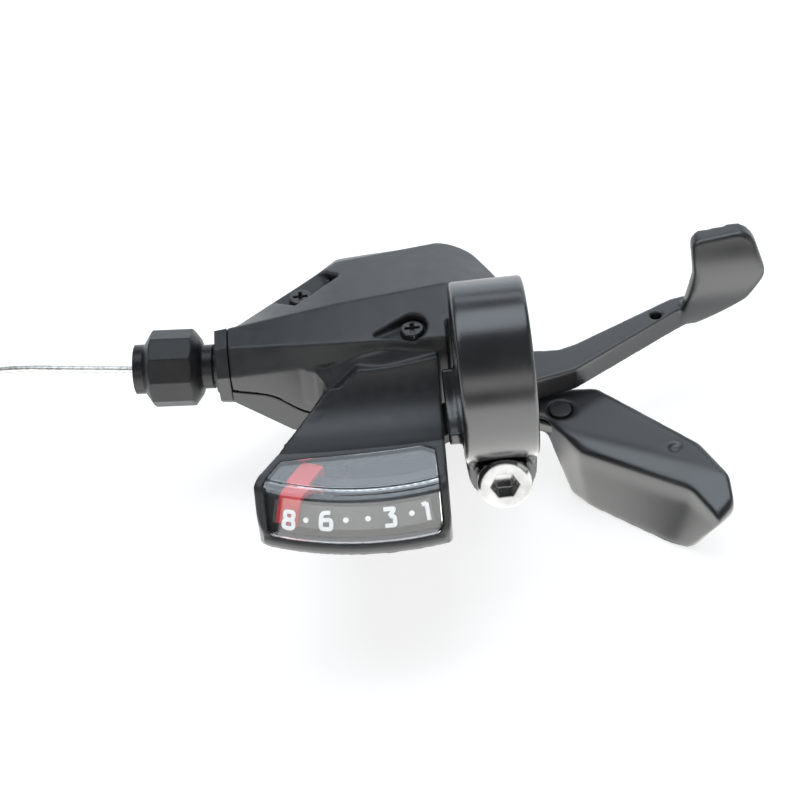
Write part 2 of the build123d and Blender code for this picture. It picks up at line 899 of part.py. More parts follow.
# Lever stack below the plate, from the top: washer, trigger hub, spacer bush, thumb arm, washer, floor
play = 0.05
washer_thick = 0.5
release_top = plate_low - washer_thick - 2 * play
release_hub_thick = 1.8
release_low = release_top - release_hub_thick
bush_length = 3.9
thumb_top = release_low - bush_length - 2 * play
thumb_thick = 1.6
thumb_low = thumb_top - thumb_thick
lower_washer = 1.0
floor_top = thumb_low - lower_washer - 2 * play
floor_thick = 1.8
floor_low = floor_top - floor_thick
axle_top = spool_top + 1.5
stud_radius = 1.9
nut_height = 2.2
clip_depth = 0.4
clip_thick = 0.6
bush_radius = 3.3


def ring(height, inner, outer):
    with BuildSketch(Plane.XY.offset(height)) as washer:
        with Locations(axle_at):
            Circle(outer)
            Circle(inner, mode=Mode.SUBTRACT)
    return washer.sketch


with BuildPart() as axle:
    with BuildSketch(Plane.XY.offset(floor_top)):
        with Locations(axle_at):
            Circle(axle_radius)
    extrude(amount=axle_top - floor_top)
    with BuildSketch(Plane.XY.offset(floor_top)):
        with Locations(axle_at):
            Circle(stud_radius)
    extrude(amount=-floor_thick - nut_height - 0.6)
    add(ring(spool_top + play, axle_radius - clip_depth, axle_radius))
    extrude(amount=clip_thick, mode=Mode.SUBTRACT)
finish(axle, "main_axle")

# Axle clip: snap ring with a gap, in the groove above the spool
with BuildPart() as axle_clip:
    add(ring(spool_top + play, axle_radius - clip_depth, axle_radius + 1.1))
    extrude(amount=clip_thick)
    with BuildSketch(Plane.XY.offset(spool_top + play)):
        with Locations((axle_at[0] + axle_radius, axle_at[1])):
            Rectangle(axle_radius, axle_radius)
    extrude(amount=clip_thick, mode=Mode.SUBTRACT)
finish(axle_clip, "axle_clip")

# Axle nut under the lower cover
with BuildPart() as axle_nut:
    with BuildSketch(Plane.XY.offset(floor_low)):
        with Locations(axle_at):
            RegularPolygon(3.5, 6, major_radius=False)
            Circle(stud_radius, mode=Mode.SUBTRACT)
    extrude(amount=-nut_height)
finish(axle_nut, "axle_nut")

# Washers above and below the levers, and the bush between them
with BuildPart() as washers:
    add(ring(release_top + play, axle_radius, 6.0))
    extrude(amount=washer_thick)
    add(ring(floor_top, axle_radius, 6.0))
    extrude(amount=lower_washer)
finish(washers, "lever_washers")

with BuildPart() as bush:
    add(ring(thumb_top + play, axle_radius, bush_radius))
    extrude(amount=bush_length)
finish(bush, "spacer_bush")

release_spring = spiral(bush_radius + 0.8, 1.4, 4, release_low - 1.7, 1.2, spring_wire)
finish(release_spring, "release_spring")
thumb_spring = spiral(bush_radius + 0.8, 1.4, 4, thumb_top + 0.5, 1.2, spring_wire)
finish(thumb_spring, "thumb_spring")

# Lower cover: moulded cup under the lever hubs, open towards the grip, with a nose under the cable
nose_tip = -16.6
nose_heel = -20.4
nose_right = -26.0
nose_edge = [(housing_left, front_left, -13.1), (-32.3, front_left, -20.9)]
mouth_from = -125.0
mouth_turn = 172.0
lower_gap = 0.15


def lower_block(inset, floor):
    with BuildPart() as block:
        add(housing_outline(Plane.XY.offset(skirt_low - 10), inset))
        extrude(amount=-skirt_low + 10)
        with BuildSketch(Plane.XZ.offset(-60)):
            with BuildLine():
                Polyline(
                    (housing_left - 5, 0),
                    (housing_left - 5, nose_tip + floor),
                    (housing_left, nose_tip + floor),
                    (nose_right - 6, nose_heel + floor),
                    (nose_right + inset, nose_heel + floor),
                    (nose_right + inset, 0),
                    close=True,
                )
            make_face()
        extrude(amount=120, mode=Mode.INTERSECT)
        edge_run = Vector(*nose_edge[1]) - Vector(*nose_edge[0])
        edge_plane = Plane(origin=nose_edge[0], x_dir=edge_run, z_dir=edge_run.cross(Vector(0, 1, -1)))
        with BuildSketch(edge_plane.offset(inset)):
            Rectangle(80, 80)
        extrude(amount=-20, mode=Mode.SUBTRACT)
        with BuildSketch(Plane.XY.offset(floor_low + floor)):
            with Locations(axle_at):
                Circle(drum_radius - inset)
        extrude(amount=plate_low - lower_gap - floor_low - floor)
    return block.part


lower_outer = lower_block(0, 0)
lower_void = lower_block(cover_wall, floor_thick)
below_seam = above_seam(-lower_gap)

with BuildPart() as lower_cover:
    add(lower_outer)
    add(lower_void, mode=Mode.SUBTRACT)
    add(below_seam, mode=Mode.SUBTRACT)
    with BuildSketch(Plane.XY.offset(floor_top)):
        with BuildLine():
            mouth_start = polar(axle_at, 2 * drum_radius, mouth_from)
            mouth_end = polar(axle_at, 2 * drum_radius, mouth_from + mouth_turn)
            CenterArc(axle_at, 2 * drum_radius, mouth_from, mouth_turn)
            Line(mouth_end, axle_at)
            Line(axle_at, mouth_start)
        make_face()
    extrude(amount=-floor_top, mode=Mode.SUBTRACT)
    with BuildSketch(Plane.XY.offset(floor_low)):
        with Locations(axle_at):
            Circle(stud_radius)
    extrude(amount=floor_thick, mode=Mode.SUBTRACT)
    with BuildSketch(cable_socket):
        Circle(plug_radius + seat_gap)
    extrude(amount=8, both=True, mode=Mode.SUBTRACT)
finish(lower_cover, "lower_cover")

# Neck cover: thin moulding that closes the neck and the window from below
neck_proud = 0.5
neck_inside = 0.8

with BuildPart() as neck_cover:
    with BuildSketch(pivot_plane):
        with BuildLine():
            Polyline(
                (2, neck_foot - neck_proud),
                (neck_slope, neck_foot - neck_proud),
                (window_end - cover_wall - seat_gap, window_foot - neck_proud),
                (window_end - cover_wall - seat_gap, window_foot + neck_inside),
                (neck_slope, neck_foot + neck_inside),
                (2, neck_foot + neck_inside),
                close=True,
            )
        make_face()
    revolve(axis=pivot_axis)
    add(neck_outline(cover_wall + seat_gap))
    extrude(amount=-2 * skirt_low, mode=Mode.INTERSECT)
    with BuildSketch(Plane.XY.offset(skirt_low)):
        with Locations((0, front_right + 30 - 1)):
            Rectangle(200, 60)
    extrude(amount=-2 * skirt_low, mode=Mode.SUBTRACT)
finish(neck_cover, "neck_cover")

# Release trigger: one moulding with a flat hub, an arm bent forward behind the bar and a curved finger tab
release_hub = 8.0
arm_thick = 4.4
arm_root = 11.0
arm_outline = [
    (-12.0, 36.0),
    (7.7, 23.2),
    (12.3, 22.8),
    (15.3, 23.8),
    (32.6, 32.8),
    (36.5, 33.6),
    (37.5, 32.0),
    (32.6, 29.0),
    (14.5, 17.2),
    (6.8, 15.3),
    (-18.0, 21.2),
]
arm_hole_at = (29.6, 28.8)
arm_hole_radius = 0.95
arm_hole_depth = 2.0
tab_face = 28.4
tab_curve = 18.0
tab_middle = -13.0
tab_thick = 2.6
tab_edge = 0.8
tab_feet = (33.2, 37.0)
tab_corners = [
    (36.0, -10.0, 4.0),
    (35.8, -4.2, 1.6),
    (45.9, -3.2, 3.4),
    (48.2, -10.8, 3.0),
    (45.0, -15.8, 3.0),
]

with BuildPart() as trigger_tab:
    with BuildSketch(Plane.YZ):
        with Locations((tab_face + tab_curve, tab_middle)):
            Circle(tab_curve)
            Circle(tab_curve - tab_thick, mode=Mode.SUBTRACT)
    extrude(amount=60)
    with BuildSketch(Plane.XZ.offset(-tab_face - tab_curve)) as tab_outline:
        with BuildLine():
            Polyline(
                (tab_feet[0], release_top - arm_thick),
                *[(x, z) for x, z, radius in tab_corners],
                (tab_feet[1], release_top - arm_thick),
                close=True,
            )
        make_face()
        for x, z, radius in tab_corners:
            fillet(tab_outline.vertices().sort_by_distance((x, z, 0))[0], radius)
    extrude(amount=tab_curve + tab_thick, mode=Mode.INTERSECT)
    tab_rim = trigger_tab.faces().sort_by(Axis.Y)[0].edges().sort_by(Axis.Z)[1:]
    fillet(tab_rim, tab_edge)

with BuildPart() as trigger_arm:
    with BuildSketch(Plane.XY.offset(release_top - arm_thick)):
        with BuildLine():
            Polyline(*arm_outline, close=True)
        make_face()
        with Locations(axle_at):
            Circle(arm_root, mode=Mode.SUBTRACT)
        with Locations((axle_at[0] - 30 + arm_root * 0.9, axle_at[1])):
            Rectangle(60, 60, mode=Mode.SUBTRACT)
    extrude(amount=arm_thick)
    with BuildSketch(Plane.XY.offset(release_top)):
        with Locations(arm_hole_at):
            Circle(arm_hole_radius)
    extrude(amount=-arm_hole_depth, mode=Mode.SUBTRACT)

with BuildPart() as release_lever:
    with BuildSketch(Plane.XY.offset(release_low)):
        with Locations(axle_at):
            Circle(release_hub)
        with BuildLine():
            Polyline(*arm_outline[:4], *arm_outline[-3:], close=True)
        make_face()
    extrude(amount=release_hub_thick)
    add(trigger_arm.part)
    add(trigger_tab.part)
    with BuildSketch(Plane.XY.offset(release_low)):
        with Locations(axle_at):
            Circle(axle_radius + running_gap)
    extrude(amount=release_hub_thick, mode=Mode.SUBTRACT)
finish(release_lever, "release_trigger")

# Thumb lever: blanked steel arm on the axle, with an ear for the feed pawl
thumb_hub = 8.0
rivet_radius = 1.8
thumb_rivet_at = (11.4, 13.4)
arm_width = 7.0
ear_radius = 1.5
feed_pin_at = polar(axle_at, pin_reach, feed_pin_angle)
arm_end = (24.0, 2.5)

with BuildPart() as thumb_arm:
    with BuildSketch(Plane.XY.offset(thumb_low)):
        with Locations(axle_at):
            Circle(thumb_hub)
        with Locations(feed_pin_at):
            Circle(ear_radius)
        with BuildLine() as ear_line:
            Line(axle_at, feed_pin_at)
        trace(ear_line.edges(), line_width=2 * ear_radius)
        with BuildLine() as arm_line:
            Polyline(axle_at, thumb_rivet_at, arm_end)
        trace(arm_line.edges(), line_width=arm_width)
        with Locations(thumb_rivet_at):
            Circle(arm_width / 2)
            Circle(rivet_radius, mode=Mode.SUBTRACT)
        with Locations(axle_at):
            Circle(axle_radius + running_gap, mode=Mode.SUBTRACT)
        with Locations(feed_pin_at):
            Circle(feed_pin_radius, mode=Mode.SUBTRACT)
    extrude(amount=thumb_thick)
finish(thumb_arm, "thumb_arm")

# Thumb paddle: moulded on the arm, a flat top that slopes to the rider and a tall thumb pad below it
paddle_top = thumb_top + 0.9
paddle_plate = 3.6
pad_low = -33.4
paddle_outline = [
    (2.5, 14.0),
    (8.6, 11.5),
    (13.3, 3.6),
    (29.5, -7.0),
    (33.1, -13.6),
    (36.1, -10.9),
    (36.2, -5.5),
    (32.7, 2.4),
    (18.1, 18.2),
    (10.5, 19.0),
    (5.6, 20.6),
]
pad_upper = [
    (8.6, 11.5),
    (13.3, 3.6),
    (29.5, -7.0),
    (33.1, -13.6),
    (36.1, -10.9),
    (34.0, -3.0),
    (18.0, 9.0),
    (11.0, 14.0),
]
pad_lower = [
    (11.6, 4.8),
    (14.4, 1.0),
    (26.0, -9.4),
    (28.4, -10.6),
    (31.0, -9.8),
    (29.0, -4.0),
    (18.8, 3.4),
    (13.8, 7.8),
]
crease_start = (16.8, 5.0)
crease_end = (36.8, -6.2)
crease_width = 9.0
crease_drop = 2.5
paddle_edge = 0.8
dimple_at = (28.5, 1.5)
dimple_radius = 0.9
dimple_depth = 0.3

with BuildPart() as paddle:
    with BuildSketch(Plane.XY.offset(pad_low)):
        with BuildLine():
            Polyline(*pad_lower, close=True)
        make_face()
    with BuildSketch(Plane.XY.offset(paddle_top - paddle_plate)):
        with BuildLine():
            Polyline(*pad_upper, close=True)
        make_face()
    loft(ruled=True)
    with BuildSketch(Plane.XY.offset(paddle_top - paddle_plate)):
        with BuildLine():
            Polyline(*paddle_outline, close=True)
        make_face()
    extrude(amount=paddle_plate)
    crease = Vector(*crease_end) - Vector(*crease_start)
    crease_plane = Plane(
        origin=(crease_start[0], crease_start[1], paddle_top),
        x_dir=(crease.Y, -crease.X, 0),
        z_dir=crease,
    )
    with BuildSketch(crease_plane):
        with BuildLine():
            Polyline((0, 0), (crease_width, 0), (crease_width, crease_drop), close=True)
        make_face()
    extrude(amount=2 * crease.length, both=True, mode=Mode.SUBTRACT)
    thumb_edges = []
    for start, end in zip(paddle_outline[1:5], paddle_outline[2:6]):
        middle = (Vector(*start) + Vector(*end)) / 2
        beyond = (middle - Vector(*crease_start)).dot(crease_plane.x_dir)
        spot = middle + Vector(0, 0, paddle_top - crease_drop * beyond / crease_width)
        thumb_edges.append(paddle.edges().sort_by_distance(spot)[0])
    fillet(thumb_edges, paddle_edge)
    with BuildSketch(Plane.XY.offset(paddle_top)):
        with Locations(dimple_at):
            Circle(dimple_radius)
    extrude(amount=-dimple_depth, mode=Mode.SUBTRACT)
    add(thumb_arm.part, mode=Mode.SUBTRACT)
    with BuildSketch(Plane.XY.offset(paddle_top - paddle_plate)):
        with Locations(thumb_rivet_at):
            Circle(rivet_radius)
    extrude(amount=paddle_plate, mode=Mode.SUBTRACT)
finish(paddle, "thumb_paddle")

with BuildPart() as rivet:
    with BuildSketch(Plane.XY.offset(paddle_top - paddle_plate)):
        with Locations(thumb_rivet_at):
            Circle(rivet_radius)
    extrude(amount=paddle_plate)
finish(rivet, "paddle_rivet")

# Pawls: small blanked levers just clear of the tooth tips, one fed by the thumb lever, one that holds
pawl_room = 0.35
pawl_thick = ratchet_thick - 0.2


def pawl(pin_angle, lean):
    pin = polar(axle_at, pin_reach, pin_angle)
    nose_in = polar(axle_at, tooth_tip + pawl_room, pin_angle + lean)
    nose_out = polar(axle_at, tooth_tip + pawl_room + 0.9, pin_angle + lean)
    heel_in = polar(axle_at, tooth_tip + pawl_room + 0.5, pin_angle)
    heel_out = polar(axle_at, pin_reach + pawl_hub * 0.9, pin_angle + 2)
    with BuildPart() as blank:
        with BuildSketch(Plane.XY.offset(ratchet_low + 0.1)):
            with BuildLine():
                Polyline(heel_in, nose_in, nose_out, heel_out, close=True)
            make_face()
            with Locations(pin):
                Circle(pawl_hub)
                Circle(feed_pin_radius + running_gap, mode=Mode.SUBTRACT)
        extrude(amount=pawl_thick)
    return blank


def pawl_pin(pin_angle, low):
    with BuildPart() as pin:
        with BuildSketch(Plane.XY.offset(low)):
            with Locations(polar(axle_at, pin_reach, pin_angle)):
                Circle(feed_pin_radius)
        extrude(amount=ratchet_top - 0.05 - low)
    return pin


feed_pawl = pawl(feed_pin_angle, 16)
finish(feed_pawl, "feed_pawl")
feed_pin = pawl_pin(feed_pin_angle, thumb_low)
finish(feed_pin, "feed_pawl_pin")
hold_pawl = pawl(hold_pin_angle, 16)
finish(hold_pawl, "holding_pawl")
hold_pin = pawl_pin(hold_pin_angle, plate_low)
finish(hold_pin, "holding_pawl_pin")

# End collar: eight-sided threaded insert that closes the cable end of the covers
collar_thick = 2.0
collar_flat = 5.9
stem_radius = 2.9
stem_length = 7.0
plug_length = 7.5

with BuildPart() as collar:
    with BuildSketch(Plane.YZ.offset(housing_left - seat_gap)):
        with Locations((19.6, cable_height)):
            RegularPolygon(collar_flat, 8, major_radius=False, rotation=22.5)
    extrude(amount=-collar_thick, taper=6)
    with BuildSketch(cable_socket):
        Circle(plug_radius)
    extrude(amount=-plug_length)
    with BuildSketch(cable_socket):
        Circle(stem_radius + running_gap)
    extrude(amount=20, both=True, mode=Mode.SUBTRACT)
finish(collar, "end_collar")

# Barrel adjuster: turned and fluted thumb nut on the cable line, with the socket for the outer casing
grip_radius = 6.3
rim_radius = 4.05
throat_radius = 3.6
casing_radius = 2.5
casing_depth = 7.0
liner_radius = 0.8
flute_count = 10
flute_depth = 0.3
collar_face = 0.6
neck_length = 1.7
shoulder_length = 1.65
grip_length = 6.5
cone_length = 1.5
rim_length = 1.6
adjuster_section = Plane(
    origin=cable_socket.origin,
    x_dir=cable_out,
    z_dir=(cable_out[1], -cable_out[0], 0),
)
adjuster_axis = Axis(cable_socket.origin, cable_out)
shoulder_at = collar_face + neck_length
grip_at = shoulder_at + shoulder_length
cone_at = grip_at + grip_length
rim_at = cone_at + cone_length
rim_end = rim_at + rim_length

with BuildPart() as adjuster:
    with BuildSketch(adjuster_section):
        with BuildLine():
            Polyline(
                (collar_face - stem_length, liner_radius),
                (collar_face - stem_length, stem_radius),
                (collar_face, stem_radius),
                (collar_face, throat_radius),
                (shoulder_at, throat_radius),
                (shoulder_at + 0.4, grip_radius - 1.6),
                (grip_at, grip_radius),
                (cone_at, grip_radius),
                (rim_at, rim_radius),
                (rim_end, rim_radius),
                (rim_end, casing_radius),
                (rim_end - casing_depth, casing_radius),
                (rim_end - casing_depth, liner_radius),
                close=True,
            )
        make_face()
    revolve(axis=adjuster_axis)
    with BuildSketch(cable_socket.offset(shoulder_at)):
        with PolarLocations(grip_radius + 2 - flute_depth, flute_count):
            Rectangle(4, 6)
    extrude(amount=20, mode=Mode.SUBTRACT)
finish(adjuster, "barrel_adjuster")

# Inner cable inside the part: straight from the spool to the mouth of the adjuster
tangent_at = polar(axle_at, spool_radius, tangent_angle)
mouth_at = (
    cable_socket.origin.X + rim_end * cable_out[0],
    cable_socket.origin.Y + rim_end * cable_out[1],
)
cable_plane = Plane(
    origin=(tangent_at[0], tangent_at[1], cable_height),
    x_dir=(0, 0, 1),
    z_dir=cable_out,
)
inside_length = math.hypot(mouth_at[0] - tangent_at[0], mouth_at[1] - tangent_at[1])

with BuildPart() as cable_inside:
    with BuildSketch(cable_plane):
        Circle(cable_radius)
    extrude(amount=inside_length)
finish(cable_inside, "cable_inside")

# Inner cable outside: a straight stretch, then down to the surface where the spare length lies in a coil
cable_route = [
    (mouth_at[0], mouth_at[1], cable_height),
    (-69.0, 23.2, -10.7),
    (-80.0, 26.0, -11.4),
    (-89.5, 28.2, -15.2),
    (-98.0, 29.0, -21.4),
    (-106.0, 28.6, -26.2),
    (-113.6, 26.6, -27.1),
]
coil_at = (-121.0, 11.0)
coil_mean = 14.5
coil_half_width = 3.0
coil_height = 6.9

bend_radii = []
for before, corner, after in zip(cable_route, cable_route[1:], cable_route[2:]):
    run_in = Vector(*corner) - Vector(*before)
    run_out = Vector(*after) - Vector(*corner)
    turn = math.radians(run_in.get_angle(run_out))
    shorter = min(run_in.length, run_out.length)
    bend_radii.append(0.45 * shorter / math.tan(turn / 2))
print("cable bend radii", [round(radius, 1) for radius in bend_radii])

with BuildPart() as cable_run:
    with BuildLine() as run_path:
        FilletPolyline(*cable_route, radius=bend_radii)
    with BuildSketch(Plane(origin=run_path.line @ 0, z_dir=run_path.line % 0)):
        Circle(cable_radius)
    sweep()
finish(cable_run, "cable_run")
run_length = run_path.wire().length
print("cable run length", run_length)

with BuildPart() as cable_coil:
    with BuildSketch(Plane(origin=(coil_at[0], coil_at[1], 0), x_dir=(1, 0, 0), z_dir=(0, -1, 0))):
        with Locations((coil_mean, pad_low + coil_height / 2)):
            coil_band = Rectangle(2 * coil_half_width, coil_height)
        chamfer(coil_band.vertices(), 1.5)
    revolve(axis=Axis((coil_at[0], coil_at[1], 0), (0, 0, 1)))
finish(cable_coil, "cable_coil")
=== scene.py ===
import math

import bmesh
import bpy
from mathutils import Matrix, Vector


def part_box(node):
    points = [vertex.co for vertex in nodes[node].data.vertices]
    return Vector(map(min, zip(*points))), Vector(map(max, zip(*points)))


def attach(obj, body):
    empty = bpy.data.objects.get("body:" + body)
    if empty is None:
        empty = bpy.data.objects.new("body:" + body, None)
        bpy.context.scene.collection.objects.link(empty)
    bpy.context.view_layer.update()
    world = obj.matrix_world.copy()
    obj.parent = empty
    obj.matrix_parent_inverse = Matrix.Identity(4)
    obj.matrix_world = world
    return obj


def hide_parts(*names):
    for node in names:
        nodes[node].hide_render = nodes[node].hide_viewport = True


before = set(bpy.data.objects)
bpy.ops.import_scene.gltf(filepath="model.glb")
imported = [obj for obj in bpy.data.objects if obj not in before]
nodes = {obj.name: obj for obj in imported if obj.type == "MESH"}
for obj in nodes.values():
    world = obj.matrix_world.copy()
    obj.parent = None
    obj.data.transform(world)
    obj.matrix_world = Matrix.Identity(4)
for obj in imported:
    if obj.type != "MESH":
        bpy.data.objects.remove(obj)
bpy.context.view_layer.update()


# Photo table: a white sheet under the shifter, which rests on the lower edge of its thumb paddle.
# The sheet glows evenly for the camera and for shiny faces, and keeps a faint shadow.
TABLE_SIZE = 4.0
TABLE_WHITE = (0.55, 0.55, 0.545, 1)
TABLE_GLOW = 0.74
table_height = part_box("thumb_paddle")[0].z

bpy.ops.mesh.primitive_plane_add(size=TABLE_SIZE, location=(0, 0, table_height))
table = bpy.context.object
table.name = "photo_table"
table_paper = bpy.data.materials.new("table_paper")
table_paper.use_nodes = True
paper_nodes = table_paper.node_tree.nodes
paper_link = table_paper.node_tree.links.new
paper = paper_nodes["Principled BSDF"]
paper.inputs["Base Color"].default_value = TABLE_WHITE
paper.inputs["Roughness"].default_value = 0.9
paper.inputs["Specular IOR Level"].default_value = 0.0
light_path = paper_nodes.new("ShaderNodeLightPath")
seen_or_glossy = paper_nodes.new("ShaderNodeMath")
seen_or_glossy.operation = "MAXIMUM"
paper_link(light_path.outputs["Is Camera Ray"], seen_or_glossy.inputs[0])
paper_link(light_path.outputs["Is Glossy Ray"], seen_or_glossy.inputs[1])
seen_at_all = paper_nodes.new("ShaderNodeMath")
seen_at_all.operation = "MAXIMUM"
paper_link(seen_or_glossy.outputs[0], seen_at_all.inputs[0])
paper_link(light_path.outputs["Is Transmission Ray"], seen_at_all.inputs[1])
paper_glow = paper_nodes.new("ShaderNodeMath")
paper_glow.operation = "MULTIPLY"
paper_glow.inputs[1].default_value = TABLE_GLOW
paper_link(seen_at_all.outputs[0], paper_glow.inputs[0])
paper.inputs["Emission Color"].default_value = (1, 1, 1, 1)
paper_link(paper_glow.outputs[0], paper.inputs["Emission Strength"])
table.data.materials.append(table_paper)


# Camera: in front of the rider's side, 42 degrees above the bar and rolled 6 degrees,
# with a long lens, so that the clamp ring is seen from just outside the grip end.
MM = 0.001
CAMERA_HEIGHT_ANGLE = math.radians(42)
CAMERA_ROLL = math.radians(6)
CAMERA_DISTANCE = 350 * MM
CAMERA_LENS = 102.375
AIM_RIGHT = -14.3 * MM
AIM_UP = -4.77 * MM

look = Vector((0, math.cos(CAMERA_HEIGHT_ANGLE), -math.sin(CAMERA_HEIGHT_ANGLE)))
level_right = Vector((1, 0, 0))
level_up = level_right.cross(look)
frame_right = math.cos(CAMERA_ROLL) * level_right - math.sin(CAMERA_ROLL) * level_up
frame_up = math.sin(CAMERA_ROLL) * level_right + math.cos(CAMERA_ROLL) * level_up
camera_data = bpy.data.cameras.new("photo_camera")
camera_data.lens = CAMERA_LENS
camera_data.sensor_width = 36
camera_data.clip_start = 0.01
camera = bpy.data.objects.new("photo_camera", camera_data)
bpy.context.scene.collection.objects.link(camera)
aim = frame_right * AIM_RIGHT + frame_up * AIM_UP
camera.matrix_world = Matrix.Translation(aim - look * CAMERA_DISTANCE) @ Matrix(
    (frame_right, frame_up, -look)
).transposed().to_4x4()
bpy.context.scene.camera = camera
bpy.context.scene.view_settings.view_transform = "Standard"


# Studio light: a cool backdrop and softboxes behind and above, a lit table and a card in front.
# The up-facing faces show the softboxes, the faces towards the rider show the table,
# and the dim room keeps the black plastic black.
ROOM_GREY = (0.14, 0.145, 0.155, 1)
SOFTBOX_BLUE = (0.82, 0.91, 1.0)
TABLE_WARM = (1.0, 0.985, 0.96)


def soft_light(name, place, towards, width, depth, power, colour):
    """A flat lamp that shines on the part and shows in its shiny faces, but not to the camera."""
    lamp = bpy.data.lights.new(name, "AREA")
    lamp.shape = "RECTANGLE"
    lamp.size = width
    lamp.size_y = depth
    lamp.energy = power
    lamp.color = colour
    stand = bpy.data.objects.new(name, lamp)
    bpy.context.scene.collection.objects.link(stand)
    stand.location = place
    heading = Vector(towards) - Vector(place)
    stand.rotation_euler = heading.to_track_quat("-Z", "Y").to_euler()
    stand.visible_camera = False


LIT_TABLE_LIFT = 0.5 * MM
LAMPS = [
    # name, place, looks towards, width, depth, watts, colour
    ("backdrop", (0, 0.75, 0.16), (0, 0, 0.16), 1.6, 0.38, 2.6, SOFTBOX_BLUE),
    ("top_softbox", (-0.05, 0.17, 0.64), (0, 0, 0), 0.9, 0.38, 3.0, SOFTBOX_BLUE),
    ("high_card", (0.15, 0.56, 0.44), (0, 0, 0), 0.6, 0.14, 0.5, SOFTBOX_BLUE),
    ("side_softbox", (0.6, -0.1, 0.25), (0, 0, 0), 0.3, 0.4, 0.4, (1, 1, 1)),
    ("lit_table", (0, -0.20, table_height + LIT_TABLE_LIFT), (0, -0.20, 1), 0.9, 0.42, 2.2, TABLE_WARM),
    ("front_card", (0, -0.75, 0.33), (0, 0, 0), 1.4, 0.26, 1.9, TABLE_WARM),
]
for lamp_row in LAMPS:
    soft_light(*lamp_row)

room = bpy.data.worlds.new("studio_room")
bpy.context.scene.world = room
room.use_nodes = True
room_nodes = room.node_tree.nodes
room_link = room.node_tree.links.new
room_air = room_nodes["Background"]
room_path = room_nodes.new("ShaderNodeLightPath")
room_mix = room_nodes.new("ShaderNodeMixShader")
room_white = room_nodes.new("ShaderNodeBackground")
room_white.inputs["Color"].default_value = (1, 1, 1, 1)
room_air.inputs["Color"].default_value = ROOM_GREY
room_link(room_path.outputs["Is Camera Ray"], room_mix.inputs["Fac"])
room_link(room_air.outputs[0], room_mix.inputs[1])
room_link(room_white.outputs[0], room_mix.inputs[2])
room_link(room_mix.outputs[0], room_nodes["World Output"].inputs["Surface"])


# Clamp bracket: a cast aluminium ring with a split lug, tumbled and coated in satin black.
# It is slid along the bar and closed by one screw through the lug.
CLAMP_BLACK = (0.012, 0.012, 0.013, 1)
CLAMP_WORN = (0.020, 0.020, 0.021, 1)
EDGE_RADIUS = 0.4 * MM
TONE_SPREAD = (0.35, 0.65)
GLOSS_SPREAD = (0.3, 0.7)
DENT_SLOPE = 4


def dress(node, material):
    """Gives a piece of the frame its finish in place of the plain packed colour."""
    nodes[node].data.materials.clear()
    nodes[node].data.materials.append(material)


def satin(name, dark, light, gloss, grain, depth, metal=0.0, shine=0.5, cloud=110, edge=EDGE_RADIUS):
    """A satin skin: two close tones in soft patches, uneven gloss and a fine grain."""
    material = bpy.data.materials.new(name)
    material.use_nodes = True
    tree = material.node_tree.nodes
    link = material.node_tree.links.new
    skin = tree["Principled BSDF"]
    skin.inputs["Metallic"].default_value = metal
    skin.inputs["Specular IOR Level"].default_value = shine
    place = tree.new("ShaderNodeTexCoord")
    patches = tree.new("ShaderNodeTexNoise")
    patches.inputs["Scale"].default_value = cloud
    patches.inputs["Detail"].default_value = 4
    link(place.outputs["Object"], patches.inputs["Vector"])
    tone = tree.new("ShaderNodeValToRGB")
    for stop, position, colour in zip(tone.color_ramp.elements, TONE_SPREAD, (dark, light)):
        stop.position = position
        stop.color = colour
    link(patches.outputs["Fac"], tone.inputs["Fac"])
    link(tone.outputs["Color"], skin.inputs["Base Color"])
    polish = tree.new("ShaderNodeMapRange")
    polish.inputs["From Min"].default_value = GLOSS_SPREAD[0]
    polish.inputs["From Max"].default_value = GLOSS_SPREAD[1]
    polish.inputs["To Min"].default_value = gloss[0]
    polish.inputs["To Max"].default_value = gloss[1]
    link(patches.outputs["Fac"], polish.inputs["Value"])
    link(polish.outputs["Result"], skin.inputs["Roughness"])
    pores = tree.new("ShaderNodeTexNoise")
    pores.inputs["Scale"].default_value = 1 / grain
    pores.inputs["Detail"].default_value = 2
    link(place.outputs["Object"], pores.inputs["Vector"])
    worn_edge = tree.new("ShaderNodeBevel")
    worn_edge.samples = 4
    worn_edge.inputs["Radius"].default_value = edge
    relief = tree.new("ShaderNodeBump")
    link(worn_edge.outputs["Normal"], relief.inputs["Normal"])
    relief.inputs["Strength"].default_value = 0.5
    relief.inputs["Distance"].default_value = depth
    link(pores.outputs["Fac"], relief.inputs["Height"])
    link(relief.outputs["Normal"], skin.inputs["Normal"])
    return material


def moulded(node, body, material, blocks, voxel, passes, keep, dent=None):
    """Stands in for a piece of the frame: the same form, with added blocks grown in and soft edges."""
    form = bmesh.new()
    form.from_mesh(nodes[node].data)
    for block in blocks:
        corners = [form.verts.new(corner) for corner in block]
        bmesh.ops.convex_hull(form, input=corners)
    mesh = bpy.data.meshes.new(f"{node}_form")
    form.to_mesh(mesh)
    form.free()
    piece = bpy.data.objects.new(f"{node}_skin", mesh)
    bpy.context.scene.collection.objects.link(piece)
    skin = piece.modifiers.new("skin", "REMESH")
    skin.mode = "VOXEL"
    skin.voxel_size = voxel
    skin.use_smooth_shade = True
    soften = piece.modifiers.new("soften", "SMOOTH")
    soften.factor = 0.5
    soften.iterations = passes
    thin = piece.modifiers.new("thin", "DECIMATE")
    thin.ratio = keep
    grown = piece.evaluated_get(bpy.context.evaluated_depsgraph_get())
    piece.data = bpy.data.meshes.new_from_object(grown)
    piece.modifiers.clear()
    if dent:
        centre, radius, depth = dent
        for spot in piece.data.vertices:
            away = (spot.co - centre).length / radius
            spot.co.z -= depth * max(0, min(1, DENT_SLOPE * (1 - away)))
    piece.data.materials.clear()
    piece.data.materials.append(material)
    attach(piece, body)
    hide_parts(node)


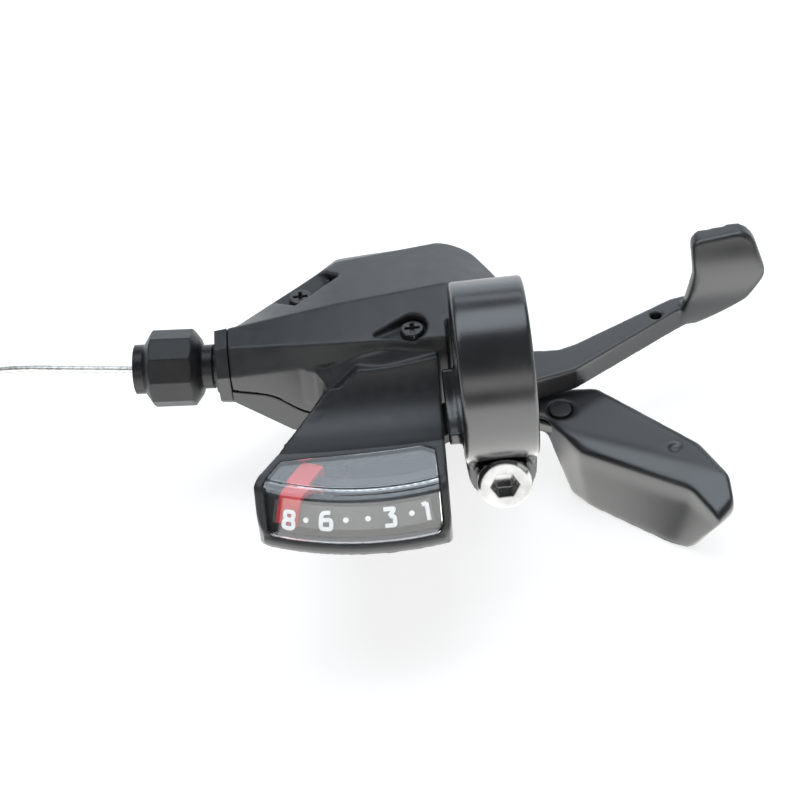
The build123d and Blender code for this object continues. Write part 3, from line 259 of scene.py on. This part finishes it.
clamp_coat = satin(
    "clamp_coat", CLAMP_BLACK, CLAMP_WORN,
    gloss=(0.22, 0.28), grain=0.16 * MM, depth=0.006 * MM, shine=0.9,
)
# The lug's sizes are in millimetres until its block is made.
BOLT_DROP = 15.6
BOLT_TILT = math.radians(14)
LUG_RADIUS = 5.4
LUG_DEPTHS = (1.0, 4.3)
LUG_CLEAR = 12.2
LUG_STEPS = 36
LUG_SHOULDERS = [(side * 5.6, -6.9, -12.0) for side in (-1, 1)]
bolt_at = Vector((0, -math.sin(BOLT_TILT), -math.cos(BOLT_TILT))) * BOLT_DROP
bolt_axis = Vector((0, -math.cos(BOLT_TILT), math.sin(BOLT_TILT)))
bolt_up = Vector((1, 0, 0)).cross(bolt_axis)
lug_rim = [
    bolt_at + bolt_axis * depth + LUG_RADIUS * (Vector((math.cos(turn), 0, 0)) + bolt_up * math.sin(turn))
    for depth in LUG_DEPTHS
    for turn in [math.tau * step / LUG_STEPS for step in range(LUG_STEPS)]
]
lug_block = [spot * MM for spot in lug_rim if math.hypot(spot.y, spot.z) > LUG_CLEAR]
lug_block += [Vector(spot) * MM for spot in LUG_SHOULDERS]
moulded(
    "clamp_bracket", "body", clamp_coat, [lug_block],
    voxel=0.26 * MM, passes=5, keep=0.4,
)


# Base plate, ratchet and pawls: blanked from steel sheet and zinc plated.
# The plate sits on the foot of the bracket, and everything inside stands on it.
ZINC_DULL = (0.42, 0.42, 0.43, 1)
ZINC_BRIGHT = (0.55, 0.55, 0.56, 1)
zinc_plate = satin(
    "zinc_plate", ZINC_DULL, ZINC_BRIGHT,
    gloss=(0.28, 0.42), grain=0.25 * MM, depth=0.004 * MM, metal=1.0, cloud=260,
)
for blank in ("base_plate", "ratchet_wheel", "feed_pawl", "holding_pawl"):
    dress(blank, zinc_plate)


# Axle, nut, clip, washers, posts and pins: turned from bar, hardened and polished by their fit.
# The axle is riveted into the plate and carries both levers and the spool.
TURNED_DULL = (0.50, 0.50, 0.51, 1)
TURNED_BRIGHT = (0.62, 0.62, 0.63, 1)
turned_steel = satin(
    "turned_steel", TURNED_DULL, TURNED_BRIGHT,
    gloss=(0.18, 0.30), grain=0.12 * MM, depth=0.003 * MM, metal=1.0, cloud=420,
)
for turned in (
    "main_axle",
    "axle_nut",
    "axle_clip",
    "lever_washers",
    "cover_posts",
    "pointer_pin",
    "feed_pawl_pin",
    "holding_pawl_pin",
):
    dress(turned, turned_steel)


# Spool and spacer bush: moulded in natural acetal, a slippery milk-white plastic.
# The spool turns on the axle and the bush keeps the two levers apart.
ACETAL_SHADE = (0.66, 0.65, 0.61, 1)
ACETAL_WHITE = (0.74, 0.73, 0.69, 1)
acetal = satin(
    "natural_acetal", ACETAL_SHADE, ACETAL_WHITE,
    gloss=(0.32, 0.42), grain=0.2 * MM, depth=0.003 * MM,
)
for slippery in ("cable_spool", "spacer_bush"):
    dress(slippery, acetal)


# Springs: flat spirals of hard-drawn wire that bring back the spool and the two levers.
# They are hooked on at both ends and greased when they are fitted.
WIRE_DARK = (0.24, 0.24, 0.25, 1)
WIRE_LIGHT = (0.38, 0.38, 0.39, 1)
spring_wire = satin(
    "spring_wire", WIRE_DARK, WIRE_LIGHT,
    gloss=(0.25, 0.4), grain=0.1 * MM, depth=0.003 * MM, metal=1.0, cloud=500,
)
for spring in ("spool_spring", "release_spring", "thumb_spring"):
    dress(spring, spring_wire)


# Pointer and dial: the pointer is moulded in red plastic and swings between lens and dial.
# The dial is a dark grey moulding that closes off the works behind it.
POINTER_RED = (0.62, 0.012, 0.018, 1)
POINTER_LIT = (0.72, 0.022, 0.028, 1)
DIAL_DARK = (0.010, 0.010, 0.010, 1)
DIAL_GREY = (0.016, 0.016, 0.016, 1)
pointer_plastic = satin(
    "pointer_red_plastic", POINTER_RED, POINTER_LIT,
    gloss=(0.35, 0.5), grain=0.2 * MM, depth=0.003 * MM,
)
dress("gear_pointer", pointer_plastic)
dial_plastic = satin(
    "dial_grey_plastic", DIAL_DARK, DIAL_GREY,
    gloss=(0.45, 0.6), grain=0.2 * MM, depth=0.006 * MM,
)
dress("dial_plate", dial_plastic)


# Window lens: one clear acrylic moulding that follows the bend of the frame and snaps in.
# Light from the lamps passes straight through it, so the dial behind is lit.
LENS_CLEAR = (0.93, 0.95, 0.96, 1)
LENS_IOR = 1.75
HAZE_SCALE = 300
HAZE_GLOSS = (0.02, 0.06)
clear_acrylic = bpy.data.materials.new("clear_acrylic")
clear_acrylic.use_nodes = True
lens_nodes = clear_acrylic.node_tree.nodes
lens_link = clear_acrylic.node_tree.links.new
acrylic = lens_nodes["Principled BSDF"]
acrylic.inputs["Base Color"].default_value = LENS_CLEAR
acrylic.inputs["Transmission Weight"].default_value = 1.0
acrylic.inputs["IOR"].default_value = LENS_IOR
haze = lens_nodes.new("ShaderNodeTexNoise")
haze.inputs["Scale"].default_value = HAZE_SCALE
haze_place = lens_nodes.new("ShaderNodeTexCoord")
lens_link(haze_place.outputs["Object"], haze.inputs["Vector"])
haze_range = lens_nodes.new("ShaderNodeMapRange")
haze_range.inputs["To Min"].default_value = HAZE_GLOSS[0]
haze_range.inputs["To Max"].default_value = HAZE_GLOSS[1]
lens_link(haze.outputs["Fac"], haze_range.inputs["Value"])
lens_link(haze_range.outputs["Result"], acrylic.inputs["Roughness"])
lamp_path = lens_nodes.new("ShaderNodeLightPath")
lamp_through = lens_nodes.new("ShaderNodeBsdfTransparent")
lens_mix = lens_nodes.new("ShaderNodeMixShader")
lens_link(lamp_path.outputs["Is Shadow Ray"], lens_mix.inputs["Fac"])
lens_link(acrylic.outputs[0], lens_mix.inputs[1])
lens_link(lamp_through.outputs[0], lens_mix.inputs[2])
lens_link(lens_mix.outputs[0], lens_nodes["Material Output"].inputs["Surface"])
dress("window_lens", clear_acrylic)


# Painted reflection band: a grey strip painted on the slope of the black dial, behind the figures and the
# pointer, in place of the lit table seen in the lens there.
# It follows the bend of the window about the pointer's pivot.
PIVOT = Vector((-18.218, 15.595, 0)) * MM
BROW_REACH = 40.0 * MM
BROW_HEIGHT = -1.9 * MM
SILL_REACH = 43.3 * MM
SILL_HEIGHT = -6.85 * MM
BROW_LEAN = 0.6
BAND_DEPTH = 2.75 * MM
BAND_SHARES = (0.12, 1.0)
BAND_FROM = -25.0
BAND_TURN = 34.5
BAND_STEPS = 40
# Painted reflection: these greys lighten the black dial's slope where the lens shows the lit table.
REFLECTION_PAINT_DARK = (0.115, 0.113, 0.110, 1)
REFLECTION_PAINT_GREY = (0.140, 0.138, 0.134, 1)
band_brow = Vector((BROW_REACH - BROW_LEAN * BAND_DEPTH, BROW_HEIGHT - BROW_LEAN * BAND_DEPTH))
band_sill = Vector((SILL_REACH - BAND_DEPTH, SILL_HEIGHT))
band_spots = []
for step in range(BAND_STEPS + 1):
    turn = math.radians(BAND_FROM + BAND_TURN * step / BAND_STEPS)
    for share in BAND_SHARES:
        reach, height = band_brow.lerp(band_sill, share)
        band_spots.append(PIVOT + Vector((reach * math.sin(turn), -reach * math.cos(turn), height)))
band_mesh = bpy.data.meshes.new("painted_reflection_band")
band_faces = [(2 * step, 2 * step + 1, 2 * step + 3, 2 * step + 2) for step in range(BAND_STEPS)]
band_mesh.from_pydata(band_spots, [], band_faces)
band = bpy.data.objects.new("painted_reflection_band", band_mesh)
bpy.context.scene.collection.objects.link(band)
# Painted reflection, not print: the dial itself is black under this grey.
reflection_paint = satin(
    "painted_reflection_grey", REFLECTION_PAINT_DARK, REFLECTION_PAINT_GREY,
    gloss=(0.5, 0.6), grain=0.2 * MM, depth=0.002 * MM, edge=0,
)
band_mesh.materials.append(reflection_paint)
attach(band, "body")


# Gear numbers: plain white figures and dots printed on the inside of the lens.
# They stand on the sloping face in an arc about the pointer's pivot.
PRINT_WHITE = (0.97, 0.97, 0.97, 1)
PRINT_DEPTH = 1.23 * MM
DOT_RADIUS = 0.42 * MM
FIGURES = [("8", -20.8, 0.62), ("6", -12.9, 0.53), ("3", 0.2, 0.47), ("1", 7.9, 0.475)]
DOTS = [(-17.2, 0.56), (-8.8, 0.49), (-4.2, 0.46), (4.9, 0.44)]
STROKE_WIDTH = 0.66 * MM
STROKE_THICK = 0.03
FIGURE_SIZE = 0.80 * MM
FIGURE_MIDDLE = 1.55
EIGHT_LOWER = [(0, 0), (0.9, 0), (0.95, 0.9), (0.75, 1.55), (0, 1.6)]
EIGHT_LOWER += [(-0.75, 1.55), (-0.95, 0.9), (-0.9, 0), (0, 0)]
EIGHT_UPPER = [(0, 1.6), (0.8, 1.7), (0.85, 3.1), (0, 3.1), (-0.85, 3.1), (-0.8, 1.7), (0, 1.6)]
SIX_BACK = [(0.75, 3.1), (-0.1, 3.1), (-0.75, 2.9), (-1.0, 2.0), (-1.0, 0.2), (-0.6, 0)]
SIX_BOWL = [(0, 0), (0.9, 0), (1.0, 0.9), (0.85, 1.75), (0, 1.75), (-0.9, 1.6)]
THREE_UPPER = [(-0.95, 3.1), (0.3, 3.1), (1.0, 3.1), (0.85, 2.7), (0.05, 1.75)]
THREE_LOWER = [(0.05, 1.75), (0.9, 1.75), (1.0, 0.9), (0.95, 0), (0.2, 0), (-0.9, 0)]
ONE_FLAG = [(-0.6, 3.0), (0, 3.1), (0.35, 3.1)]
ONE_STEM = [(0.3, 3.2), (0.32, 1.6), (0.3, -0.1)]
FIGURE_STROKES = {
    "8": [EIGHT_LOWER, EIGHT_UPPER],
    "6": [SIX_BACK + SIX_BOWL],
    "3": [THREE_UPPER, THREE_LOWER],
    "1": [ONE_FLAG, ONE_STEM],
}

brow_spot = Vector((BROW_REACH - BROW_LEAN * PRINT_DEPTH, BROW_HEIGHT - BROW_LEAN * PRINT_DEPTH))
sill_spot = Vector((SILL_REACH - PRINT_DEPTH, SILL_HEIGHT))
slope = (brow_spot - sill_spot).normalized()


def on_lens(angle, share):
    """Frame of a spot on the sloping face: columns across, up the slope, and out of the lens."""
    turn = math.radians(angle)
    reach, height = brow_spot.lerp(sill_spot, share)
    outward = Vector((math.sin(turn), -math.cos(turn), 0))
    across = Vector((math.cos(turn), math.sin(turn), 0))
    up_slope = outward * slope.x + Vector((0, 0, slope.y))
    place = PIVOT + outward * reach + Vector((0, 0, height))
    turned = Matrix((across, up_slope, across.cross(up_slope))).transposed().to_4x4()
    return Matrix.Translation(place) @ turned


print_ink = satin(
    "print_white_ink", PRINT_WHITE, PRINT_WHITE,
    gloss=(0.5, 0.6), grain=0.1 * MM, depth=0.001 * MM, edge=0,
)
for figure, angle, share in FIGURES:
    outline = bpy.data.curves.new(f"number_{figure}", "CURVE")
    outline.dimensions = "3D"
    outline.bevel_depth = STROKE_WIDTH / 2
    outline.bevel_resolution = 2
    outline.resolution_u = 6
    outline.use_fill_caps = True
    for points in FIGURE_STROKES[figure]:
        stroke = outline.splines.new("NURBS")
        stroke.points.add(len(points) - 1)
        for spot, (across, up) in zip(stroke.points, points):
            spot.co = (across * FIGURE_SIZE, (up - FIGURE_MIDDLE) * FIGURE_SIZE, 0, 1)
        stroke.order_u = 3
        stroke.use_endpoint_u = True
    outline.materials.append(print_ink)
    number = bpy.data.objects.new(f"number_{figure}", outline)
    bpy.context.scene.collection.objects.link(number)
    number.matrix_world = on_lens(angle, share) @ Matrix.Scale(STROKE_THICK, 4, (0, 0, 1))
    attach(number, "body")
for order, (angle, share) in enumerate(DOTS):
    bpy.ops.mesh.primitive_circle_add(vertices=32, radius=DOT_RADIUS, fill_type="NGON")
    dot = bpy.context.object
    dot.name = f"gear_dot_{order + 1}"
    dot.data.materials.append(print_ink)
    dot.matrix_world = on_lens(angle, share)
    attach(dot, "body")


# Covers and end collar: moulded in glass-filled nylon with a fine spark-eroded grain.
# The top cover is held by two screws, the lower one by the axle nut, the neck cover snaps in.
COVER_BLACK = (0.014, 0.0145, 0.016, 1)
COVER_GREY = (0.022, 0.0225, 0.024, 1)
cover_nylon = satin(
    "cover_nylon", COVER_BLACK, COVER_GREY,
    gloss=(0.38, 0.46), grain=0.18 * MM, depth=0.012 * MM, shine=0.6, cloud=400,
)
for cover in ("lower_cover", "neck_cover", "end_collar"):
    dress(cover, cover_nylon)
# The blocks' sizes are in millimetres and their turns in degrees.
SADDLE_RADIUS = 11.7
NECK_WIDTH = 2.5
NECK_DRAFT = 0.8
NECK_FOOT = -16.2
NECK_EDGE = [(8.6, -25.9), (7.5, -27.35), (6, -29.1), (4, -31.0), (2, -32.6), (0, -33.9)]
NECK_EDGE += [(-2, -34.8), (-4, -35.5), (-6, -35.9), (-8, -36.0), (-10, -35.4)]
NECK_ROOT = [(8.6, -7.9), (12.4, -4.8), (13.2, -4.8), (13.2, -8.2)]
NECK_ROOT_DROPS = [(-25.5, 2.6), (-20.0, 0.6), (-17.0, 0.0), (-8.4, 0.0)]
ROOT_FILLET = [(-30.2, 13.0, -7.0), (-27.9, 12.4, -7.5), (-26.6, 11.0, -8.6), (-25.9, 9.0, -10.2)]
ROOT_CORNER = (-23.5, 13.5, -7.2)
FILLET_FOOT = -14.6
BEZEL = [(42.6, -7.4), (43.35, -7.15), (43.75, -7.8), (43.75, -8.6), (43.2, -9.3), (41.8, -9.4)]
BEZEL_FROM = -25.6
BEZEL_TURN = 36.4
BEZEL_STEPS = 14


def neck_station(y, x):
    """Section of the neck's side at y: its edge lies on the saddle for the bar."""
    top = -math.sqrt(SADDLE_RADIUS**2 - y**2)
    inner = x + NECK_WIDTH
    return [(x, y, top), (inner, y, top), (x + NECK_DRAFT, y, NECK_FOOT), (inner, y, NECK_FOOT)]


def bezel_station(step):
    """Section of the frame's lower bar, swept about the pointer's pivot."""
    turn = math.radians(BEZEL_FROM + BEZEL_TURN * step / BEZEL_STEPS)
    return [
        (PIVOT.x / MM + reach * math.sin(turn), PIVOT.y / MM - reach * math.cos(turn), height)
        for reach, height in BEZEL
    ]


def run_of_blocks(stations):
    """Corner lists of the blocks between one section and the next."""
    pairs = zip(stations, stations[1:])
    return [[Vector(corner) * MM for corner in first + second] for first, second in pairs]


cover_blocks = run_of_blocks([neck_station(y, x) for y, x in NECK_EDGE])
cover_blocks += run_of_blocks([bezel_station(step) for step in range(BEZEL_STEPS + 1)])
root_stations = [[(x, y, z - drop) for y, z in NECK_ROOT] for x, drop in NECK_ROOT_DROPS]
cover_blocks += run_of_blocks(root_stations)
for first, second in zip(ROOT_FILLET, ROOT_FILLET[1:]):
    top_three = [Vector(spot) for spot in (first, second, ROOT_CORNER)]
    foot_three = [Vector((spot.x, spot.y, FILLET_FOOT)) for spot in top_three]
    cover_blocks.append([spot * MM for spot in top_three + foot_three])
moulded(
    "top_cover", "body", cover_nylon, cover_blocks,
    voxel=0.22 * MM, passes=7, keep=0.25,
)


# Cover screws, paddle rivet and thumb arm: steel, blackened in oil.
# The screws have a cross recess and are driven into the threaded posts, down in their seats,
# and the rivet holds the paddle to the arm.
OIL_BLACK = (0.010, 0.010, 0.010, 1)
OIL_WORN = (0.035, 0.034, 0.033, 1)
oil_black = satin(
    "oil_blackened_steel", OIL_BLACK, OIL_WORN,
    gloss=(0.22, 0.34), grain=0.15 * MM, depth=0.004 * MM, shine=0.8,
)
for dark_steel in ("cover_screws", "paddle_rivet", "thumb_arm"):
    dress(dark_steel, oil_black)


# Barrel adjuster: moulded round a brass core, with six flats for the fingers.
# It screws into the end collar and takes the end of the outer casing.
ADJUSTER_BLACK = (0.011, 0.011, 0.012, 1)
ADJUSTER_GREY = (0.018, 0.018, 0.019, 1)
adjuster_plastic = satin(
    "adjuster_plastic", ADJUSTER_BLACK, ADJUSTER_GREY,
    gloss=(0.30, 0.36), grain=0.2 * MM, depth=0.004 * MM, shine=0.3, cloud=500,
)
dress("barrel_adjuster", adjuster_plastic)


# Release trigger and thumb paddle: nylon mouldings, smooth where the fingers push.
# The paddle is riveted to the steel arm and keeps a round moulding mark, and the trigger
# turns on the axle itself.
LEVER_BLACK = (0.014, 0.0143, 0.0155, 1)
LEVER_GREY = (0.021, 0.0213, 0.0225, 1)
MARK_CENTRE = Vector((28.5, 1.5, -22.1)) * MM
MARK_RADIUS = 1.15 * MM
MARK_DEPTH = 0.28 * MM
lever_nylon = satin(
    "lever_nylon", LEVER_BLACK, LEVER_GREY,
    gloss=(0.28, 0.36), grain=0.2 * MM, depth=0.007 * MM, shine=0.9,
)
moulded(
    "release_trigger", "release_lever", lever_nylon, [],
    voxel=0.24 * MM, passes=18, keep=0.4,
)
moulded(
    "thumb_paddle", "thumb_lever", lever_nylon, [],
    voxel=0.24 * MM, passes=100, keep=0.6, dent=(MARK_CENTRE, MARK_RADIUS, MARK_DEPTH),
)


# Clamp bolt: a socket head cap screw in bright zinc, tightened with a hexagon key.
# Its head sits in the counterbore of the lug.
BOLT_DULL = (0.26, 0.26, 0.26, 1)
BOLT_BRIGHT = (0.36, 0.36, 0.36, 1)
bolt_zinc = satin(
    "bolt_bright_zinc", BOLT_DULL, BOLT_BRIGHT,
    gloss=(0.10, 0.20), grain=0.3 * MM, depth=0.006 * MM, metal=1.0, cloud=340,
)
dress("clamp_bolt", bolt_zinc)


# Shift cable: 1.1 mm stranded steel wire, 2 m long as supplied, drawn smooth on the outside.
# Its head sits in the spool, and the length that the photo leaves out lies in a coil.
CABLE_DIAMETER = 1.1 * MM
STRAND_DARK = (0.50, 0.49, 0.46, 1)
STRAND_LIGHT = (0.82, 0.81, 0.78, 1)
stranded_steel = satin(
    "stranded_steel", STRAND_DARK, STRAND_LIGHT,
    gloss=(0.25, 0.38), grain=0.2 * MM, depth=0.02 * MM, metal=1.0, cloud=1400,
)
for wire in ("cable_inside", "cable_head"):
    dress(wire, stranded_steel)
CABLE_ROUTE = [
    (-57.117, 21.085, -10.6),
    (-69.0, 23.2, -10.7),
    (-80.0, 26.0, -11.4),
    (-89.5, 28.2, -15.2),
    (-98.0, 29.0, -21.4),
    (-106.0, 28.6, -26.2),
    (-113.6, 26.6, -27.1),
]
COIL_CENTRE = Vector((-121.0, 11.0, 0)) * MM
COIL_MEAN = 14.5 * MM
COIL_TURNS = 21.1
COIL_POINTS = 24
ROW_RUN = 3.8 * MM
ROW_STEP = 1.14 * MM
TURN_STEP = 1.5 * MM
LAST_ROW = 5
ENTRY_LEAD = 0.35
COIL_TOP_GAP = 0.4 * MM
coil_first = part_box("cable_coil")[1].z - COIL_TOP_GAP


def coil_section(turns):
    """Where the wire lies in the coil's section after so many turns: rows one below the other."""
    bend_run = math.pi * ROW_STEP / 2
    row, along = divmod(turns * TURN_STEP, ROW_RUN + bend_run)
    side = 1 if row % 2 == 0 else -1
    height = coil_first - row * ROW_STEP
    if along < ROW_RUN:
        return side * (ROW_RUN / 2 - along), height
    swing = (along - ROW_RUN) / (ROW_STEP / 2)
    return (
        -side * (ROW_RUN / 2 + math.sin(swing) * ROW_STEP / 2),
        height - (1 - math.cos(swing)) * ROW_STEP / 2,
    )


cable_points = [Vector(spot) * MM for spot in CABLE_ROUTE]
entry = cable_points[-1] - COIL_CENTRE
entry_angle = math.atan2(entry.y, entry.x) + ENTRY_LEAD
for step in range(int(COIL_TURNS * COIL_POINTS)):
    turns = step / COIL_POINTS
    across, height = coil_section(turns)
    angle = entry_angle + turns * 2 * math.pi
    reach = COIL_MEAN + across
    coil_x = COIL_CENTRE.x + reach * math.cos(angle)
    coil_y = COIL_CENTRE.y + reach * math.sin(angle)
    cable_points.append(Vector((coil_x, coil_y, height)))
cable_line = bpy.data.curves.new("shift_cable", "CURVE")
cable_line.dimensions = "3D"
cable_line.bevel_depth = CABLE_DIAMETER / 2
cable_line.bevel_resolution = 2
cable_line.resolution_u = 4
cable_line.use_fill_caps = True
strand = cable_line.splines.new("NURBS")
strand.points.add(len(cable_points) - 1)
for spot, point in zip(strand.points, cable_points):
    spot.co = (*point, 1)
strand.order_u = 3
strand.use_endpoint_u = True
cable_line.materials.append(stranded_steel)
cable = bpy.data.objects.new("shift_cable", cable_line)
bpy.context.scene.collection.objects.link(cable)
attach(cable, "body")
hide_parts("cable_run", "cable_coil")


# Cable tie: a strip of black nylon with a small head, pulled tight round the turns of the coil.
# It keeps the spare length together until the cable is fitted and cut.
TIE_ANGLE = math.radians(-70)
TIE_WIDTH = 2.2 * MM
TIE_THICK = 0.2 * MM
TIE_CORNER = 0.6 * MM
TIE_HEAD = (1.8 * MM, 2.4 * MM, 2.8 * MM)
tie_side = ROW_RUN / 2 + ROW_STEP / 2 + CABLE_DIAMETER / 2 + TIE_THICK / 2
tie_top = coil_first + CABLE_DIAMETER / 2 + TIE_THICK / 2
tie_foot = coil_first - LAST_ROW * ROW_STEP - CABLE_DIAMETER / 2 - TIE_THICK / 2
tie_middle = (tie_top + tie_foot) / 2
tie_out = Vector((math.cos(TIE_ANGLE), math.sin(TIE_ANGLE), 0))
tie_along = tie_out.cross(Vector((0, 0, 1)))
tie_frame = Matrix.Translation(COIL_CENTRE + tie_out * COIL_MEAN + Vector((0, 0, tie_middle))) @ Matrix(
    (tie_out, Vector((0, 0, 1)), tie_along)
).transposed().to_4x4()
tie_line = bpy.data.curves.new("cable_tie", "CURVE")
tie_line.dimensions = "2D"
tie_line.fill_mode = "NONE"
tie_line.extrude = TIE_WIDTH / 2
tie_line.bevel_depth = TIE_THICK / 2
tie_line.resolution_u = 4
tie_band = tie_line.splines.new("NURBS")
tie_rise = (tie_top - tie_foot) / 2
tie_corners = []
for side, rise in ((1, 1), (-1, 1), (-1, -1), (1, -1)):
    corner = Vector((side * tie_side, rise * tie_rise))
    first = corner - Vector((0, rise * TIE_CORNER))
    last = corner - Vector((side * TIE_CORNER, 0))
    tie_corners += [first, corner, last] if side == rise else [last, corner, first]
tie_band.points.add(len(tie_corners) - 1)
for spot, (across, up) in zip(tie_band.points, tie_corners):
    spot.co = (across, up, 0, 1)
tie_band.order_u = 3
tie_band.use_cyclic_u = True
tie = bpy.data.objects.new("cable_tie", tie_line)
bpy.context.scene.collection.objects.link(tie)
tie.matrix_world = tie_frame
bpy.ops.mesh.primitive_cube_add(size=1)
tie_head = bpy.context.object
tie_head.name = "cable_tie_head"
tie_head.matrix_world = (
    tie_frame @ Matrix.Translation((tie_side + TIE_HEAD[0] / 2, 0, 0)) @ Matrix.Diagonal((*TIE_HEAD, 1))
)
for tied in (tie, tie_head):
    tied.data.materials.append(lever_nylon)
    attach(tied, "body")
